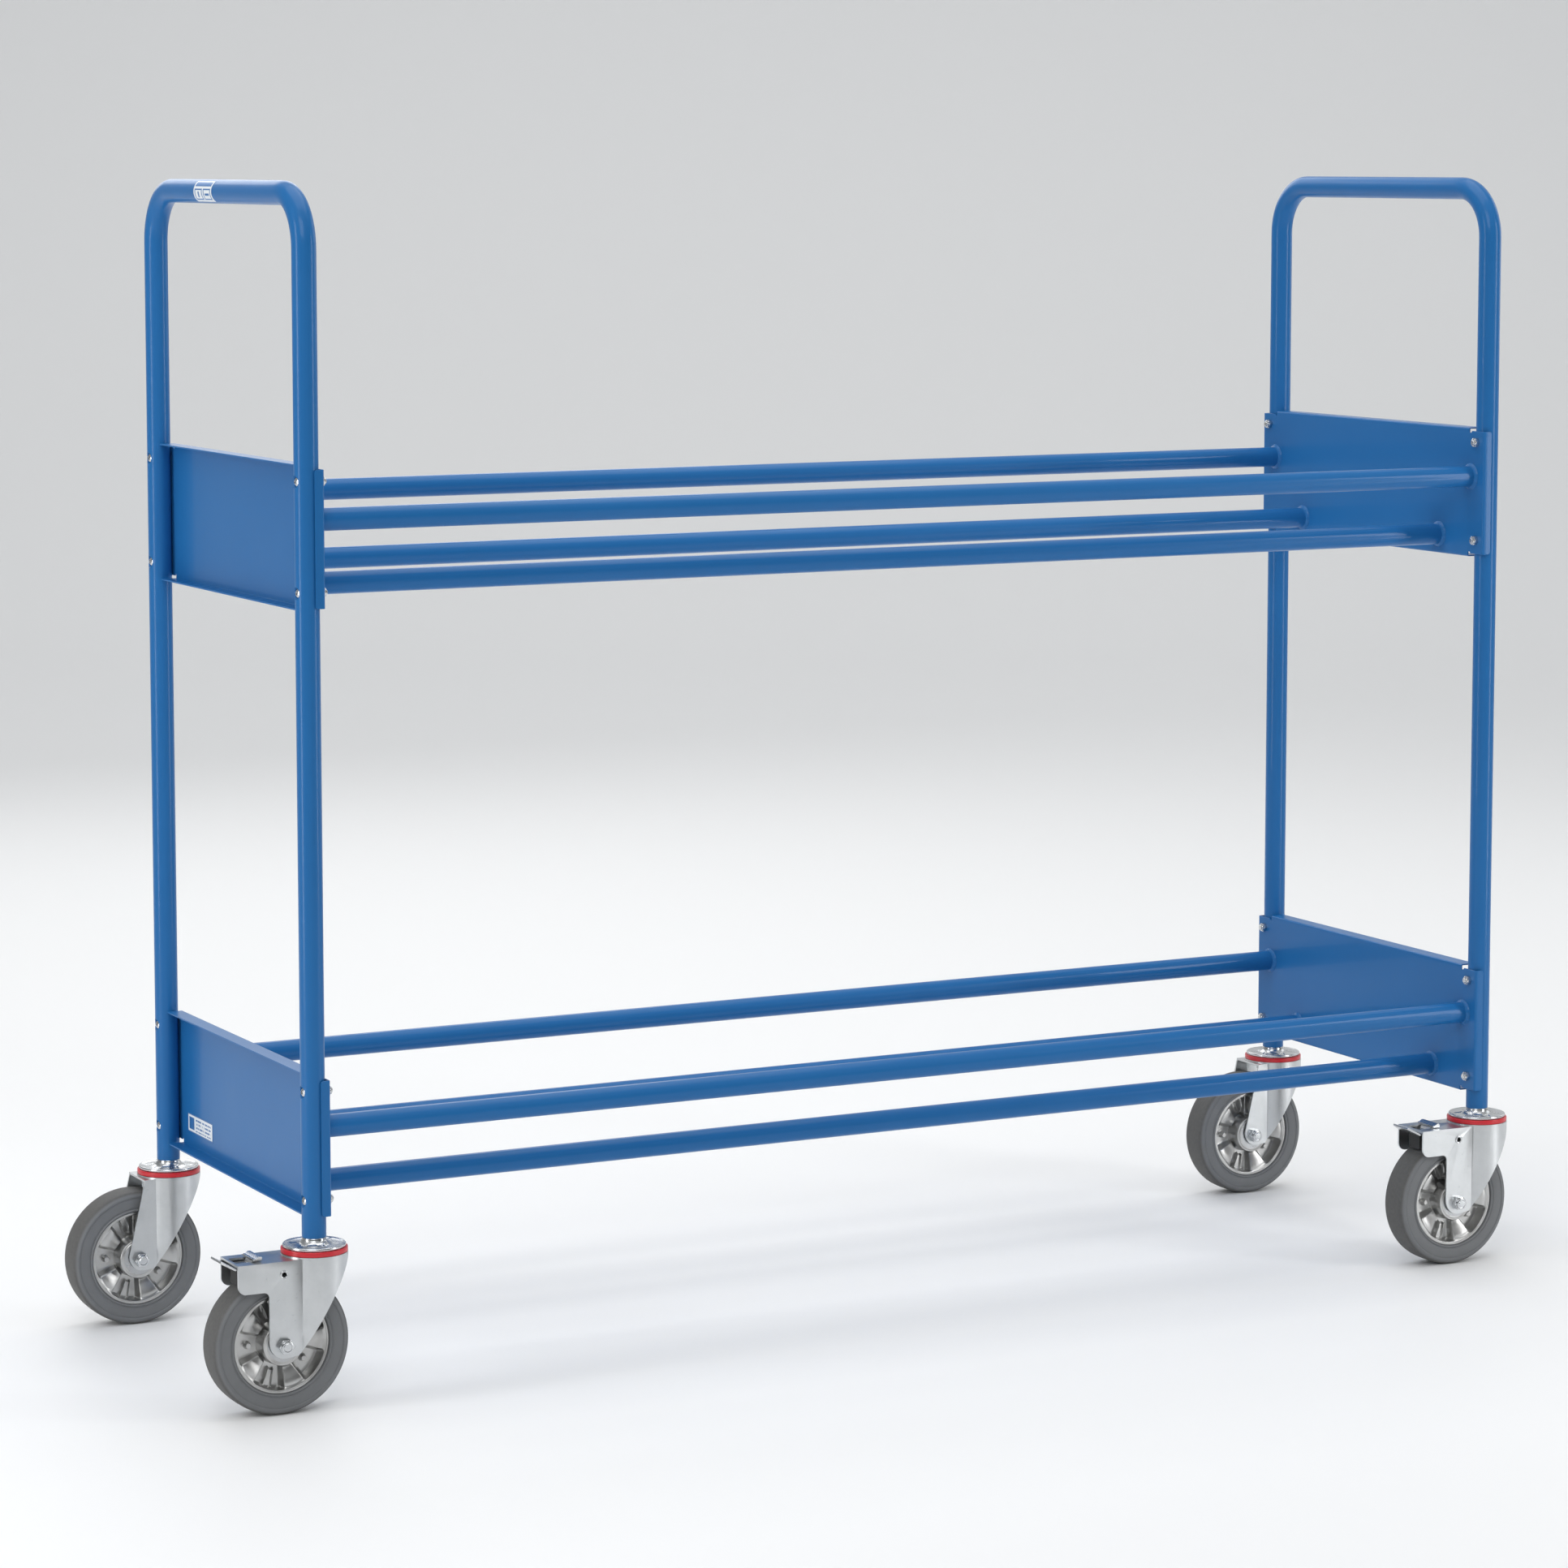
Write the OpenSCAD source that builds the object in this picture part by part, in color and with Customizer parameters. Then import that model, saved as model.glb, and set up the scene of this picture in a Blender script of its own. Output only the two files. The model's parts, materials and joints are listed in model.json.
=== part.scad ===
// Two-level tyre storage rack: a trolley of two inverted U end frames, four bolted sheet panels,
// eight rails and four swivel casters, the front pair with brakes.
// Units mm, +Z up, -Y is the front, origin on the floor under the middle of the rack.

/* [Rack] */
// Distance between the leg axes of the left and right ends
span_x = 1956; // [1200:2:2600]
// Distance between the front and rear leg axes of one end
span_y = 580; // [480:2:800]
// Height of the top bar's axis above the floor
top_z = 1674; // [1400:2:2000]
// Outer diameter of the leg tube
leg_d = 34; // [28:0.5:40]
// Wall of the leg tube
leg_wall = 2; // [1.5:0.5:2.5]
// Centreline radius of the two top bends
bend_r = 75; // [60:1:110]
// Height of the lower end of the legs above the floor
leg_foot_z = 240; // [240:1:240]

/* [Panels] */
// Height of a panel
panel_h = 200; // [190:1:240]
// Height of the lower panels' bottom edge above the floor
lower_z = 265; // [255:1:320]
// Height of the upper panels' bottom edge above the floor
upper_z = 1106; // [1000:1:1200]
// Thickness of the panel sheet
sheet = 2; // [1.5:0.5:3]
// Outer depth of the top and bottom flanges
flange = 25; // [20:1:30]

/* [Rails] */
// Outer diameter of the rails
rail_d = 32; // [27:0.5:36]
// Wall of the rails
rail_wall = 2; // [1.5:0.5:3]
// Distance of the guard rails from the middle
guard_y = 274; // [260:1:280]
// Height of the guard rails above the panel's bottom edge
guard_h = 124.5; // [110:0.5:140]
// Distance of the support rails from the middle
support_y = 191; // [150:1:215]
// Height of the support rails above the panel's bottom edge
support_h = 29.5; // [25:0.5:60]
// Leg length of the weld fillets
weld = 5; // [3:0.5:7]

/* [Casters] */
// Diameter of the caster tyre
wheel_d = 200; // [200:1:200]
// Width of the caster tyre
wheel_w = 50; // [44:1:52]
// Horizontal distance from the swivel axis to the axle
trail = 58; // [54:1:60]
// Outside width of the fork
fork_w = 68; // [68:1:70]
// Thickness of the fork sheet
fork_t = 3; // [2.5:0.5:3]
// Travel of the brake pedal in degrees
pedal_travel = 9; // [6:0.5:10]

/* [Hidden] */
$fn = 64;
CORNERS = ["front_left", "front_right", "rear_left", "rear_right"];
CASTER_PARTS = ["seal_ring", "race_balls", "fork", "axle_set", "bearings", "rim", "tyre"];
BRAKE_PARTS = ["brake_pedal", "brake_pin", "brake_shoe"];

end_x = span_x / 2;
leg_y = span_y / 2;
leg_r = leg_d / 2;
bar_half = leg_y - bend_r;
web_u = leg_r;                     // web's outer face, measured inboard from the leg axis
web_in = web_u + sheet;            // web's inner face
rail_half = end_x - web_in;        // rails end on the inner faces
flange_end = leg_y - leg_r - 2;    // flanges stop short of the legs
plate_end = leg_y + leg_r + 2;     // outer face of the side flanges
step_z = 5;                        // the plate is shorter beside the legs
bend_out = 3;
bolt_low = 26;
bolt_high = 178;
head_seat = 12;                    // bolt head seat, measured outboard from the leg axis
head_d = 14;
head_h = 4.4;
pocket_d = 14.6;
nut_h = 8;
plug_h = 40;                       // the threaded plug ends below the lowest screw cups
axle_z = wheel_d / 2;
wheel_r = wheel_d / 2;
half_in = fork_w / 2 - fork_t;     // inner face of a cheek
crown_r = 47;
crown_hi = 220;
roof_lo = 215;
roof_hi = 218;
axle_r = 6;
sleeve_r = 9.95;
hub_half = 29.5;
bearing_r = 23.5;
bearing_w = 14;
rim_r = 70;
barrel_r = 62;
barrel_half = 22;
ball_ring_r = 37;
ball_r = 4.35;
ball_z = crown_hi + 0.1 + ball_r;
low_ball_ring_r = 20;
low_ball_r = 4.4;
low_ball_z = 210.5;
pivot_x = -100;
pivot_z = 208;
pin_r = 3;
shoe_gap = 0.45;                   // left between shoe and tread with the pedal down

BLUE = [0.05, 0.16, 0.42];
ZINC = [0.68, 0.69, 0.70];
STEEL = [0.50, 0.51, 0.52];
ALU = [0.66, 0.67, 0.68];
GREY = [0.42, 0.42, 0.41];
RED = [0.62, 0.04, 0.06];
WHITE = [0.85, 0.87, 0.88];

// ---------- helpers ----------

// a 2D (x, z) shape given thickness along Y between y0 and y1
module along_y(y0, y1) {
  translate([0, y1, 0]) rotate([90, 0, 0]) linear_extrude(y1 - y0) children();
}

// a cylinder along Y between y0 and y1
module rod_y(x, z, r, y0, y1) {
  translate([x, y1, z]) rotate([90, 0, 0]) cylinder(h = y1 - y0, r = r);
}

// a cylinder along X between x0 and x1
module rod_x(y, z, r, x0, x1) {
  translate([x0, y, z]) rotate([0, 90, 0]) cylinder(h = x1 - x0, r = r);
}

// children drawn for the right end are mirrored onto the left end when side is -1
module at_end(side) {
  if (side > 0) children();
  else mirror([1, 0, 0]) children();
}

function corner_x(c) = (c == "front_left" || c == "rear_left") ? -end_x : end_x;
function corner_y(c) = (c == "front_left" || c == "front_right") ? -leg_y : leg_y;
function has_brake(c) = c == "front_left" || c == "front_right";

module at_corner(c) {
  translate([corner_x(c), corner_y(c), 0]) children();
}

module at_all_corners() {
  for (c = CORNERS) at_corner(c) children();
}

// ---------- end frames ----------

// solid U of radius r: two legs, two quarter bends and the top bar, in the plane x = 0
module u_rod(r, foot) {
  for (s = [-1, 1]) {
    translate([0, s * leg_y, foot]) cylinder(h = top_z - bend_r - foot, r = r);
    translate([0, s * bar_half, top_z - bend_r])
      rotate([90, 0, s > 0 ? 90 : -90])
        quarter_bend(r);
  }
  rod_y(0, top_z, r, -bar_half, bar_half);
}

// quarter of a torus in the first quadrant of its own XY plane
module quarter_bend(r) {
  rotate_extrude(angle = 90) translate([bend_r, 0]) circle(r = r);
}

module bolt_sites() {
  for (pz = [lower_z, upper_z])
    for (s = [-1, 1])
      for (h = [bolt_low, bolt_high])
        translate([0, s * leg_y, pz + h]) children();
}

// the right end frame in its own place: outboard is +X
module end_frame() {
  translate([end_x, 0, 0])
    difference() {
      union() {
        difference() {
          u_rod(leg_r, leg_foot_z);
          u_rod(leg_r - leg_wall, leg_foot_z - 1);
        }
        // pressed cups that take the bolt heads
        intersection() {
          bolt_sites() rod_x(0, 0, 9, 9.5, leg_r + 1);
          for (s = [-1, 1])
            translate([0, s * leg_y, leg_foot_z]) cylinder(h = 1100, r = leg_r);
        }
      }
      bolt_sites() rod_x(0, 0, pocket_d / 2, head_seat, leg_r + 2);
      bolt_sites() rod_x(0, 0, 4.2, -leg_r - 2, leg_r + 2);
    }
}

// ---------- panels ----------

// quarter ring of sheet joining two flat parts, centre at the origin, in the first quadrant
module sheet_bend() {
  intersection() {
    difference() {
      circle(r = bend_out);
      circle(r = bend_out - sheet);
    }
    square(bend_out);
  }
}

// section of the web with its two flanges: x is the distance inboard, y the height
module panel_section() {
  translate([web_u, bend_out]) square([sheet, panel_h - 2 * bend_out]);
  translate([web_in - flange, 0]) square([flange - bend_out, sheet]);
  translate([web_in - flange, panel_h - sheet]) square([flange - bend_out, sheet]);
  translate([web_in - bend_out, panel_h - bend_out]) sheet_bend();
  translate([web_in - bend_out, bend_out]) mirror([0, 1]) sheet_bend();
}

// plan of the plate past one leg with its side flange: x is the distance inboard, y outwards
module side_section() {
  translate([web_u, flange_end - 8]) square([sheet, plate_end - bend_out - flange_end + 8]);
  translate([web_in - 14, plate_end - sheet]) square([14 - bend_out, sheet]);
  translate([web_in - bend_out, plate_end - bend_out]) sheet_bend();
}

// the right-hand panel of one level; side flanges and top flanges point outboard
module panel(bottom) {
  translate([end_x, 0, bottom])
    mirror([1, 0, 0])
      difference() {
        union() {
          translate([0, flange_end, 0]) rotate([90, 0, 0])
            linear_extrude(2 * flange_end) panel_section();
          for (s = [-1, 1])
            scale([1, s, 1])
              translate([0, 0, step_z])
                linear_extrude(panel_h - 2 * step_z) side_section();
        }
        for (s = [-1, 1]) {
          // relief notches beside the legs
          for (z = [4, panel_h - 4]) rod_x(s * (flange_end + 1.5), z, 4, web_u - 6, web_in + 1);
          for (h = [bolt_low, bolt_high]) rod_x(s * leg_y, h, 4.2, web_u - 1, web_in + 1);
        }
      }
}

module data_label() {
  translate([-(end_x - web_u) - 0.3, -span_y / 2 + 40, lower_z + 23]) cube([0.3, 103, 28]);
}

// printed film wrapped over the end side of the left top bar
module handle_label() {
  translate([-end_x, 85, top_z]) rotate([90, 0, 0])
    linear_extrude(70)
      intersection() {
        difference() {
          circle(r = leg_r + 0.3);
          circle(r = leg_r);
        }
        polygon([[0, 0], [-30, 43], [-60, 43], [-60, -43], [-30, -43]]);
      }
}

// ---------- rails ----------

module rail(y, z) {
  difference() {
    rod_x(y, z, rail_d / 2, -rail_half, rail_half);
    rod_x(y, z, rail_d / 2 - rail_wall, -rail_half - 1, rail_half + 1);
  }
}

module weld_bead(y, z) {
  translate([rail_half, y, z]) rotate([0, -90, 0])
    rotate_extrude()
      polygon([[rail_d / 2, 0], [rail_d / 2 + weld, 0], [rail_d / 2 + 0.4 * weld, 0.4 * weld],
        [rail_d / 2, weld]]);
}

module rail_weld_beads() {
  for (side = [-1, 1])
    at_end(side)
      for (bottom = [lower_z, upper_z])
        for (s = [-1, 1]) {
          weld_bead(s * guard_y, bottom + guard_h);
          weld_bead(s * support_y, bottom + support_h);
        }
}

// ---------- panel fasteners ----------

// button head screw: seat at the origin, head towards +Z, shank towards -Z
module button_bolt(length) {
  difference() {
    rotate_extrude()
      intersection() {
        translate([0, head_h - 9.5]) circle(r = 9.5);
        square([head_d / 2, head_h]);
      }
    translate([0, 0, head_h - 2.6]) cylinder(h = 3, d = 5.8, $fn = 6);
  }
  translate([0, 0, -length]) cylinder(h = length, r = 4);
}

module panel_bolts() {
  for (side = [-1, 1])
    at_end(side)
      translate([end_x, 0, 0])
        bolt_sites() translate([head_seat, 0, 0]) rotate([0, 90, 0]) button_bolt(head_seat + 28.5);
}

module lock_nut(across, height, bore) {
  difference() {
    union() {
      cylinder(h = height - 2, d = across / cos(30), $fn = 6);
      cylinder(h = height, d = across * 0.92);
    }
    translate([0, 0, -1]) cylinder(h = height + 2, r = bore);
  }
}

module panel_nuts() {
  for (side = [-1, 1])
    at_end(side)
      translate([end_x, 0, 0])
        bolt_sites() translate([-web_in, 0, 0]) rotate([0, -90, 0]) lock_nut(13, nut_h, 4.05);
}

// ---------- caster mounting, fixed to the legs ----------

module leg_plugs() {
  at_all_corners()
    difference() {
      translate([0, 0, leg_foot_z]) cylinder(h = plug_h, r = leg_r - leg_wall - 0.05);
      translate([0, 0, leg_foot_z - 1]) cylinder(h = plug_h + 2, r = 6.05);
    }
}

module caster_fixing_bolts() {
  at_all_corners() {
    translate([0, 0, 195.5]) cylinder(h = 7.5, d = 18 / cos(30), $fn = 6);
    translate([0, 0, 203]) cylinder(h = leg_foot_z + plug_h - 206, r = 6);
  }
}

module kingpins() {
  at_all_corners()
    difference() {
      translate([0, 0, 203]) cylinder(h = 33, r = 11);
      translate([0, 0, 202]) cylinder(h = 35, r = 6.3);
    }
}

// pressed disc with a raised rim, a ball groove below and a neck that carries the leg
module swivel_top_plates() {
  at_all_corners()
    difference() {
      rotate_extrude()
        polygon([[6.3, 236.05], [11.05, 236.05], [11.05, 227.6], [44, 227.6], [44, 231], [43.4, 231.8], [42.4, 232],
          [41.4, 231.6], [40, 230.6], [34, 230.6], [25, 232.4], [19.5, 235.5], [17.4, 240], [6.3, 240]]);
      rotate_extrude() translate([ball_ring_r, ball_z]) circle(r = ball_r + 0.08);
    }
}

module lower_race_plates() {
  at_all_corners()
    difference() {
      translate([0, 0, 203]) cylinder(h = 3, r = 27);
      translate([0, 0, 202]) cylinder(h = 5, r = 11.05);
    }
}

// ---------- casters; drawn with the swivel axis on Z and the wheel trailing to -X ----------

module seal_ring() {
  difference() {
    translate([0, 0, crown_hi]) cylinder(h = 7.2, r = 46.7);
    translate([0, 0, crown_hi - 1]) cylinder(h = 9, r = 42.5);
  }
}

module race_balls() {
  for (i = [0:19])
    rotate([0, 0, i * 18]) translate([ball_ring_r, 0, ball_z]) sphere(r = ball_r, $fn = 24);
  for (i = [0:12])
    rotate([0, 0, i * 360 / 13]) translate([low_ball_ring_r, 0, low_ball_z]) sphere(r = low_ball_r, $fn = 24);
}

// points of an arc in the (x, z) plane from angle a0 to a1
function arc(cx, cz, r, a0, a1) =
  [for (i = [0:12]) [cx + r * cos(a0 + (a1 - a0) * i / 12), cz + r * sin(a0 + (a1 - a0) * i / 12)]];

// leading edge of a fork, from the crown down to the front lower corner
fork_lead = concat([[60, roof_hi], [60, roof_lo], [42, roof_lo], [-30, 94.6]],
  arc(-41.4, 93, 9, -31, -88));

// side view of a fork without a brake
module fork_side_plain() {
  polygon(concat(fork_lead, arc(-54, 104, 21, -88, -185.5), [[-50, roof_lo], [-50, roof_hi]]));
}

// side view of a fork with the arms of the brake
module fork_side_brake() {
  polygon(concat(fork_lead, arc(-57, 105, 23, -86, -180), arc(-88, 169, 8, 0, 90),
    arc(-113, 189, 12, -90, -180), [[-125, roof_hi]]));
}

// plan of the fork: the round crown with two straight cheeks behind it
module fork_plan(r, half, back) {
  circle(r = r);
  translate([-back, -half]) square([back, 2 * half]);
}

module fork(brake) {
  difference() {
    union() {
      intersection() {
        difference() {
          translate([0, 0, 80]) linear_extrude(roof_hi - 80) fork_plan(crown_r, fork_w / 2, 130);
          translate([0, 0, 79]) linear_extrude(roof_lo - 79) fork_plan(crown_r - fork_t, half_in, 140);
        }
        along_y(-60, 60) {
          if (brake) fork_side_brake();
          else fork_side_plain();
        }
      }
      translate([0, 0, roof_hi - 1]) cylinder(h = crown_hi - roof_hi + 1, r = crown_r - 0.25);
      if (brake)
        for (s = [-1, 1])
          rod_y(-trail, 199.5, 6.3, s > 0 ? half_in + 1 : -fork_w / 2 - 1, s > 0 ? fork_w / 2 + 1 : -half_in - 1);
    }
    translate([0, 0, 200]) cylinder(h = 30, r = 12);
    rod_y(-trail, axle_z, axle_r + 0.1, -50, 50);
    if (brake) {
      rod_y(-trail, 199.5, 3.6, -50, 50);
      translate([-121, -16, roof_lo - 1]) cube([37, 32, 6]);
    }
  }
}

// bolt through both cheeks, lock nut and the distance sleeve that the bearings turn on
module axle_set() {
  half = fork_w / 2;
  translate([-trail, half, axle_z]) rotate([-90, 0, 0]) cylinder(h = 7.5, d = 19 / cos(30), $fn = 6);
  rod_y(-trail, axle_z, axle_r, -half - 13, half);
  translate([-trail, -half, axle_z]) rotate([90, 0, 0]) lock_nut(19, 12, axle_r + 0.05);
  difference() {
    rod_y(-trail, axle_z, sleeve_r, -half_in, half_in);
    rod_y(-trail, axle_z, axle_r + 0.1, -half_in - 1, half_in + 1);
  }
}

// the ring section of a part of the wheel, turned onto the axle
module on_axle() {
  translate([-trail, 0, axle_z]) rotate([90, 0, 0]) rotate_extrude($fn = 96) children();
}

module bearings() {
  for (s = [-1, 1])
    on_axle()
      translate([sleeve_r + 0.05, s > 0 ? hub_half - bearing_w : -hub_half])
        square([bearing_r - sleeve_r - 0.05, bearing_w]);
}

// one raised pad of the rim's face: a wedge between two radii
module rim_pad() {
  intersection() {
    difference() {
      circle(r = barrel_r + 1);
      circle(r = 28);
    }
    polygon([[0, 0], [70, 12.3], [70, -12.3]]);
  }
}

module rim() {
  on_axle() {
    // barrel with its two edges
    translate([barrel_r, -barrel_half]) square([rim_r - barrel_r, 2 * barrel_half]);
    // hub
    translate([bearing_r, -hub_half]) square([29 - bearing_r, 2 * hub_half]);
    translate([14, -hub_half + bearing_w]) square([15, 2 * (hub_half - bearing_w)]);
    // web between hub and barrel
    translate([28, -4]) square([barrel_r - 27, 8]);
  }
  // ten pads in five pairs, standing out on both sides of the web
  translate([-trail, 0, axle_z]) rotate([90, 0, 0])
    for (i = [0:9])
      rotate([0, 0, i * 36 + (i % 2 == 0 ? 3 : -3)]) {
        translate([0, 0, -16]) linear_extrude(32) rim_pad();
      }
}

module tyre() {
  on_axle()
    polygon([[rim_r, -22.5], [73.6, -wheel_w / 2], [95.5, -wheel_w / 2], [98, -23], [99, -20],
      [99.6, -14], [wheel_r, -7], [wheel_r, 7], [99.6, 14], [99, 20], [98, 23],
      [95.5, wheel_w / 2], [73.6, wheel_w / 2], [rim_r, 22.5]]);
}

// ---------- brake ----------

// pedal plate with its pivot ears, the tongue that the foot presses and the release ridge
module brake_pedal() {
  difference() {
    union() {
      along_y(-29, 29)
        polygon([[-103, 211], [-103, 214], [-127.4, 214], [-127.4, 211]]);
      intersection() {
        along_y(-29, 29)
          polygon([[-126, 211], [-126, 214], [-126.9, 214], [-143.6, 223.4], [-145.1, 220.8],
            [-127.6, 211]]);
        translate([0, 0, 200]) linear_extrude(40)
          polygon([[-120, -29], [-128, -29], [-141, -23], [-146, -17], [-146, 17], [-141, 23],
            [-128, 29], [-120, 29]]);
      }
      for (s = [-1, 1])
        rod_y(pivot_x, pivot_z, 6, s > 0 ? 26 : -29, s > 0 ? 29 : -26);
      along_y(-13, 13)
        polygon([[-105, 211], [-105, 214], [-98.5, 214], [-95, 219.6], [-95, 221], [-88.5, 221],
          [-88.5, 219.6], [-94, 211]]);
      along_y(-21, 21) {
        polygon([[-97.5, 219.4], [-86, 219.4], [-85, 220.4], [-85, 223.6], [-86.4, 225.2], [-90, 225.2],
          [-94, 222.6], [-97.5, 222.2]]);
      }
    }
    rod_y(pivot_x, pivot_z, pin_r + 0.05, -40, 40);
  }
}

module brake_pin() {
  rod_y(pivot_x, pivot_z, pin_r, -half_in, half_in);
}

// axle position seen from the pedal once it is pressed down by pedal_travel
shoe_cx = pivot_x + (-trail - pivot_x) * cos(pedal_travel) + (axle_z - pivot_z) * sin(pedal_travel);
shoe_cz = pivot_z - (-trail - pivot_x) * sin(pedal_travel) + (axle_z - pivot_z) * cos(pedal_travel);

// block that meets the tread evenly when the pedal is down
module brake_shoe() {
  difference() {
    translate([-118, -14, 180]) cube([12, 28, 31]);
    rod_y(shoe_cx, shoe_cz, wheel_r + shoe_gap, -20, 20);
  }
}

// ---------- assembly ----------

color(BLUE) at_end(-1) end_frame();  // left_end_frame
color(BLUE) at_end(1) end_frame();  // right_end_frame
color(BLUE) at_end(-1) panel(upper_z);  // upper_left_panel
color(BLUE) at_end(1) panel(upper_z);  // upper_right_panel
color(BLUE) at_end(-1) panel(lower_z);  // lower_left_panel
color(BLUE) at_end(1) panel(lower_z);  // lower_right_panel
color(BLUE) rail(-guard_y, upper_z + guard_h);  // upper_front_guard_rail
color(BLUE) rail(guard_y, upper_z + guard_h);  // upper_rear_guard_rail
color(BLUE) rail(-support_y, upper_z + support_h);  // upper_front_support_rail
color(BLUE) rail(support_y, upper_z + support_h);  // upper_rear_support_rail
color(BLUE) rail(-guard_y, lower_z + guard_h);  // lower_front_guard_rail
color(BLUE) rail(guard_y, lower_z + guard_h);  // lower_rear_guard_rail
color(BLUE) rail(-support_y, lower_z + support_h);  // lower_front_support_rail
color(BLUE) rail(support_y, lower_z + support_h);  // lower_rear_support_rail
color(BLUE) rail_weld_beads();
color(ZINC) panel_bolts();
color(ZINC) panel_nuts();
color(WHITE) handle_label();
color(WHITE) data_label();
color(STEEL) leg_plugs();
color(ZINC) caster_fixing_bolts();
color(ZINC) kingpins();
color(ZINC) swivel_top_plates();
color(ZINC) lower_race_plates();

for (c = CORNERS) {
  color(RED) at_corner(c) seal_ring();
  color(STEEL) at_corner(c) race_balls();
  color(ZINC) at_corner(c) fork(has_brake(c));
  color(ZINC) at_corner(c) axle_set();
  color(STEEL) at_corner(c) bearings();
  color(ALU) at_corner(c) rim();
  color(GREY) at_corner(c) tyre();
}

for (c = ["front_left", "front_right"]) {
  color(ZINC) at_corner(c) brake_pedal();
  color(STEEL) at_corner(c) brake_pin();
  color(STEEL) at_corner(c) brake_shoe();
}
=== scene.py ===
"""Two-level tyre storage rack on four swivel casters.

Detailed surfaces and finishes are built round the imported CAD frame. The pieces are modelled in millimetres and
degrees; the stage, the lights and the camera are in metres.
"""

import json
import math

import bmesh
import bpy
import numpy as np
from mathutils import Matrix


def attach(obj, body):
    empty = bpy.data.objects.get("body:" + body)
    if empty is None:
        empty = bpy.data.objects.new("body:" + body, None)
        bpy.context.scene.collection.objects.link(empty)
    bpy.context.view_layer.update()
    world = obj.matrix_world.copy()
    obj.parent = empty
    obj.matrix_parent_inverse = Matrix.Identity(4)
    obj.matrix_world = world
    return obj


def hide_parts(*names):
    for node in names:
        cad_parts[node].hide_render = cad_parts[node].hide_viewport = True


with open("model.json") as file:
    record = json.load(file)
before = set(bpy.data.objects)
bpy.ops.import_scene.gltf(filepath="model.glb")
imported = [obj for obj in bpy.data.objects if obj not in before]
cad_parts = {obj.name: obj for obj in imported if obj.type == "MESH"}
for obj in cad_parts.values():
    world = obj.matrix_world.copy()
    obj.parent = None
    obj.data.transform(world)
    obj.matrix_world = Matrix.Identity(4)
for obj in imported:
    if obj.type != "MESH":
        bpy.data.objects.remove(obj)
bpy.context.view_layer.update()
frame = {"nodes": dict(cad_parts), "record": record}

# ---------------------------------------------------------------- sizes, in millimetres
MM = 0.001
MERGE_DIGITS = 4  # corners that agree to this many decimals are one corner
# End frames: leg axes; tube radius, height of the top bar's axis, bend radius, height of the open feet.
END_X, LEG_Y = 978.0, 290.0
LEG_R, TOP_Z, BEND_R, FOOT_Z = 17.0, 1674.0, 75.0, 240.0
# End panels: height, sheet thickness, flange width; height of the underside at each level.
PANEL_H, SHEET, FLANGE = 200.0, 2.0, 25.0
LEVELS = {"lower": 265.0, "upper": 1106.0}
# Panel screws: heights above the panel's underside; a pressed seat's distance outboard of the leg axis.
BOLT_H = (26.0, 178.0)
SEAT_X = 12.0
# Rails: radius, half length; distance from the middle and height above the panel's underside.
RAIL_R, RAIL_HALF = 16.0, 959.0
RAILS = {"guard": (274.0, 124.5), "support": (191.0, 29.5)}
# Casters: axle behind the swivel axis, height of the axle and of the fork's eyelets; upper ring of balls.
TRAIL, AXLE_Z, EYELET_Z = 58.0, 100.0, 199.5
BALL_RING_R, BALL_Z = 37.0, 224.45
CORNERS = {
    "front_left": (-END_X, -LEG_Y), "front_right": (END_X, -LEG_Y),
    "rear_left": (-END_X, LEG_Y), "rear_right": (END_X, LEG_Y),
}
BRAKED = ("front_left", "front_right")
SIDES = {"left": -1.0, "right": 1.0}
# Films: where they start and end along Y, round the bar (degrees) and up the panel.
HANDLE_Y, HANDLE_WRAP = (85, 15), (-56, 56)
DATA_Y, DATA_Z = (250, 147), (288, 316)


# ---------------------------------------------------------------- surfaces
def smooth_step(x, low, high):
    """0 below low, 1 above high, and 3t^2 - 2t^3 between."""
    t = np.clip((x - low) / (high - low), 0.0, 1.0)
    return t * t * (3.0 - 2.0 * t)


def smooth_fall(x, low, high):
    """1 below low, 0 above high, smooth between."""
    return 1 - smooth_step(x, low, high)


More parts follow.
